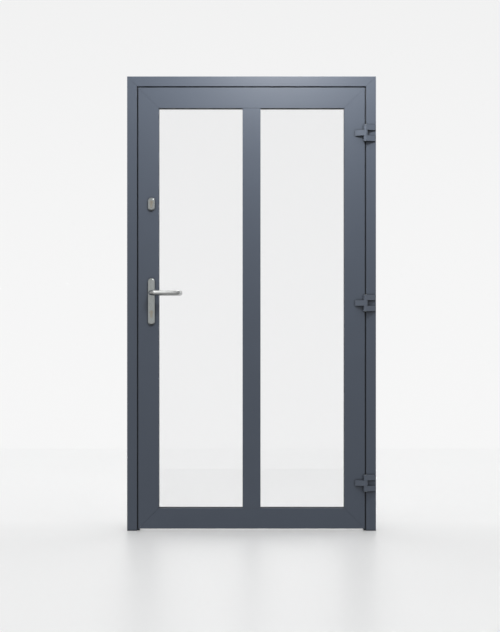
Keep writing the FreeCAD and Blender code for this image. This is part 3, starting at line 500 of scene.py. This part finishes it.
def lay_sheet(name, profile, paint):
    """A wide sheet whose cut across the room is the given (y, z) line."""
    mesh = bpy.data.meshes.new(name)
    builder = bmesh.new()
    rows = []
    for y, z in profile:
        rows.append([builder.verts.new((side * SWEEP_HALF_WIDTH, y, z)) for side in (-1, 1)])
    for near, far in zip(rows, rows[1:]):
        face = builder.faces.new((near[0], near[1], far[1], far[0]))
        face.smooth = True
    builder.to_mesh(mesh)
    builder.free()
    mesh.materials.append(paint)
    sheet = bpy.data.objects.new(name, mesh)
    bpy.context.scene.collection.objects.link(sheet)
    return sheet


def light_from_below(tree, shader):
    """Lets the floor glow as FLOOR_GLOW says, and more under the leaf as LEAF_GLOW_DEPTH says."""
    place = tree.nodes.new("ShaderNodeTexCoord")
    axes = tree.nodes.new("ShaderNodeSeparateXYZ")
    tree.links.new(place.outputs["Object"], axes.inputs["Vector"])

    def along(axis, line):
        """A value for each place along an axis, from its (place, value) pairs."""
        start = line[0][0]
        length = line[-1][0] - start
        way = tree.nodes.new("ShaderNodeMapRange")
        way.inputs["From Min"].default_value = start
        way.inputs["From Max"].default_value = start + length
        values = tree.nodes.new("ShaderNodeValToRGB")
        stops = values.color_ramp.elements
        for at, value in line[1:-1]:
            stops.new((at - start) / length)
        for stop, (at, value) in zip(stops, line):
            stop.color = (value, value, value, 1.0)
        tree.links.new(axes.outputs[axis], way.inputs["Value"])
        tree.links.new(way.outputs["Result"], values.inputs["Fac"])
        return values.outputs["Color"]

    left, right = (corner.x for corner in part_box("bottom_rail"))
    across = ((left, 0.0), (left + LEAF_GLOW_EDGE, 1.0), (right - LEAF_GLOW_EDGE, 1.0), (right, 0.0))
    share = tree.nodes.new("ShaderNodeMath")
    share.operation = "MULTIPLY"
    glow = tree.nodes.new("ShaderNodeMath")
    glow.operation = "MULTIPLY_ADD"
    glow.inputs[1].default_value = LEAF_GLOW
    tree.links.new(along("Y", FLOOR_GLOW), glow.inputs[2])
    tree.links.new(along("X", across), share.inputs[0])
    tree.links.new(along("Y", LEAF_GLOW_DEPTH), share.inputs[1])
    tree.links.new(share.outputs["Value"], glow.inputs[0])
    tree.links.new(glow.outputs["Value"], shader.inputs["Emission Strength"])


def make_studio():
    """The floor, then a quarter round that rises into the backdrop."""
    bend = SWEEP_BACK - SWEEP_RADIUS
    floor_paint, floor_tree, floor_shader = studio_paint("floor", FLOOR_PALENESS)
    light_from_below(floor_tree, floor_shader)
    floor = lay_sheet("studio_floor", [(SWEEP_FRONT, 0.0), (bend, 0.0)], floor_paint)
    floor.visible_glossy = False
    floor.visible_diffuse = False
    rise = []
    for step in range(SWEEP_ARC_STEPS + 1):
        angle = math.radians(90) * step / SWEEP_ARC_STEPS
        rise.append((bend + SWEEP_RADIUS * math.sin(angle), SWEEP_RADIUS * (1 - math.cos(angle))))
    rise.append((SWEEP_BACK, SWEEP_TOP))
    wall_paint, _, wall_shader = studio_paint("backdrop", BACKDROP_PALENESS)
    wall_shader.inputs["Specular IOR Level"].default_value = 0.0
    wall_shader.inputs["Emission Strength"].default_value = BACKDROP_GLOW
    backdrop = lay_sheet("studio_backdrop", rise, wall_paint)
    return [floor, backdrop]


def area_light(name, place, target, size, watts):
    """A rectangular lamp that looks at its target."""
    lamp = bpy.data.lights.new(name, "AREA")
    lamp.shape = "RECTANGLE"
    lamp.size, lamp.size_y = size
    lamp.energy = watts
    light = bpy.data.objects.new(name, lamp)
    light.location = place
    light.rotation_euler = (Vector(target) - Vector(place)).to_track_quat("-Z", "Y").to_euler()
    bpy.context.scene.collection.objects.link(light)
    return light


def by_height(tree, height, line):
    """A brightness that follows (height, brightness) pairs; the height comes in from 0 to 1."""
    ramp = tree.nodes.new("ShaderNodeFloatCurve")
    ramp.mapping.clip_max_y = 2.0
    curve = ramp.mapping.curves[0]
    curve.points[0].location = (0.0, line[0][1])
    curve.points[1].location = (1.0, line[-1][1])
    for level, brightness in line:
        curve.points.new((level + 1) / 2, brightness)
    ramp.mapping.update()
    tree.links.new(height, ramp.inputs["Value"])
    return ramp.outputs["Value"]


def make_room():
    """White to look at; matt faces get less light from below, polished ones mirror a dimmer room."""
    world = bpy.data.worlds.new("studio_room")
    world.use_nodes = True
    tree = world.node_tree
    matt = tree.nodes["Background"]
    matt.inputs["Color"].default_value = WHITE
    direction = tree.nodes.new("ShaderNodeTexCoord")
    split = tree.nodes.new("ShaderNodeSeparateXYZ")
    # From -1 to 1 into 0 to 1.
    half = tree.nodes.new("ShaderNodeMath")
    half.operation = "MULTIPLY_ADD"
    half.inputs[1].default_value = 0.5
    half.inputs[2].default_value = 0.5
    tree.links.new(direction.outputs["Generated"], split.inputs["Vector"])
    tree.links.new(split.outputs["Z"], half.inputs[0])
    height = half.outputs["Value"]
    polished = tree.nodes.new("ShaderNodeBackground")
    path = tree.nodes.new("ShaderNodeLightPath")
    mix = tree.nodes.new("ShaderNodeMixShader")
    light = tree.nodes.new("ShaderNodeMix")
    light.data_type = "FLOAT"
    light.inputs[2].default_value = ROOM_LIGHT
    tree.links.new(path.outputs["Is Diffuse Ray"], light.inputs[0])
    tree.links.new(by_height(tree, height, ROOM_ON_MATT), light.inputs[3])
    tree.links.new(light.outputs[0], matt.inputs["Strength"])
    tree.links.new(by_height(tree, height, ROOM_MIRRORED), polished.inputs["Strength"])
    mirrored = tree.nodes.new("ShaderNodeMath")
    mirrored.operation = "SUBTRACT"
    mirrored.use_clamp = True
    tree.links.new(path.outputs["Is Glossy Ray"], mirrored.inputs[0])
    tree.links.new(path.outputs["Is Transmission Ray"], mirrored.inputs[1])
    tree.links.new(mirrored.outputs["Value"], mix.inputs[0])
    tree.links.new(matt.outputs["Background"], mix.inputs[1])
    tree.links.new(polished.outputs["Background"], mix.inputs[2])
    tree.links.new(mix.outputs["Shader"], tree.nodes["World Output"].inputs["Surface"])
    bpy.context.scene.world = world


def light_only(lights, objects, name, state="INCLUDE"):
    """Lets the lights fall on the given objects alone or, with EXCLUDE, on everything but them."""
    group = bpy.data.collections.new(name)
    for index, item in enumerate(objects):
        group.objects.link(item)
        group.collection_objects[index].light_linking.link_state = state
    for light in lights:
        light.light_linking.receiver_collection = group


def lamp_from(name, subject, way, reach, size, watts):
    """A lamp that looks at the subject from the given direction and distance."""
    return area_light(name, subject + way.normalized() * reach, subject, size, watts)


def make_lights(studio):
    """The coated parts' lamps, kept off the studio and the handle, and the handle's own."""
    nodes = frame["nodes"]
    levers = [nodes[name] for name in ("front_lever", "rear_lever")]
    plates = [nodes[name] for name in (
        "front_handle_plate", "front_escutcheon", "rear_handle_plate", "rear_escutcheon",
        "main_cylinder", "upper_cylinder",
    )]
    key = area_light("key_light", KEY_LIGHT_PLACE, KEY_LIGHT_TARGET, KEY_LIGHT_SIZE, KEY_LIGHT_WATTS)
    ceiling = area_light("ceiling_light", CEILING_LIGHT_PLACE, CEILING_LIGHT_TARGET, CEILING_LIGHT_SIZE,
                         CEILING_LIGHT_WATTS)
    light_only([key, ceiling], studio + levers + plates, "kept_out_of_lamps", "EXCLUDE")
    low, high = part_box("front_lever")
    grip = (low + high) / 2
    plate_lamps = []
    lever_lamps = []
    for side, sign in (("front", 1), ("rear", -1)):
        subject = Vector((grip.x, grip.y * sign, grip.z))
        turn = Vector((1.0, sign, 1.0))
        plate_lamps.append(lamp_from(f"{side}_plate_lamp", subject, PLATE_LAMP_WAY * turn,
                                     PLATE_LAMP_REACH, PLATE_LAMP_SIZE, PLATE_LAMP_WATTS))
        box_subject = subject + Vector((LEVER_BOX_ASIDE, 0.0, 0.0))
        lever_lamps.append(lamp_from(f"{side}_lever_box", box_subject, LEVER_BOX_WAY * turn,
                                     LEVER_BOX_REACH, LEVER_BOX_SIZE, LEVER_BOX_WATTS))
        lever_lamps.append(lamp_from(f"{side}_lever_bounce", subject, LEVER_BOUNCE_WAY * turn,
                                     LEVER_BOUNCE_REACH, LEVER_BOUNCE_SIZE, LEVER_BOUNCE_WATTS))
    light_only(plate_lamps, plates + levers, "lit_by_plate_lamps")
    light_only(lever_lamps, levers, "lit_by_lever_lamps")


def make_camera():
    """Level and square to the door, framed as 500 x 632 with the height as the long side."""
    data = bpy.data.cameras.new("camera")
    data.lens = data.sensor_width * CAMERA_DISTANCE / PICTURE_HEIGHT_AT_DOOR
    camera = bpy.data.objects.new("camera", data)
    door_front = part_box("head")[0].y
    middle = (packed_low.x + packed_high.x) / 2
    camera.location = (middle - CAMERA_LEFT_OF_MIDDLE, door_front - CAMERA_DISTANCE, CAMERA_HEIGHT)
    camera.rotation_euler = (math.radians(90), 0.0, 0.0)
    bpy.context.scene.collection.objects.link(camera)
    bpy.context.scene.camera = camera


finish_packed_parts()
fit_screws()
make_room()
make_lights(make_studio())
make_camera()
bpy.context.scene.view_settings.view_transform = "Standard"
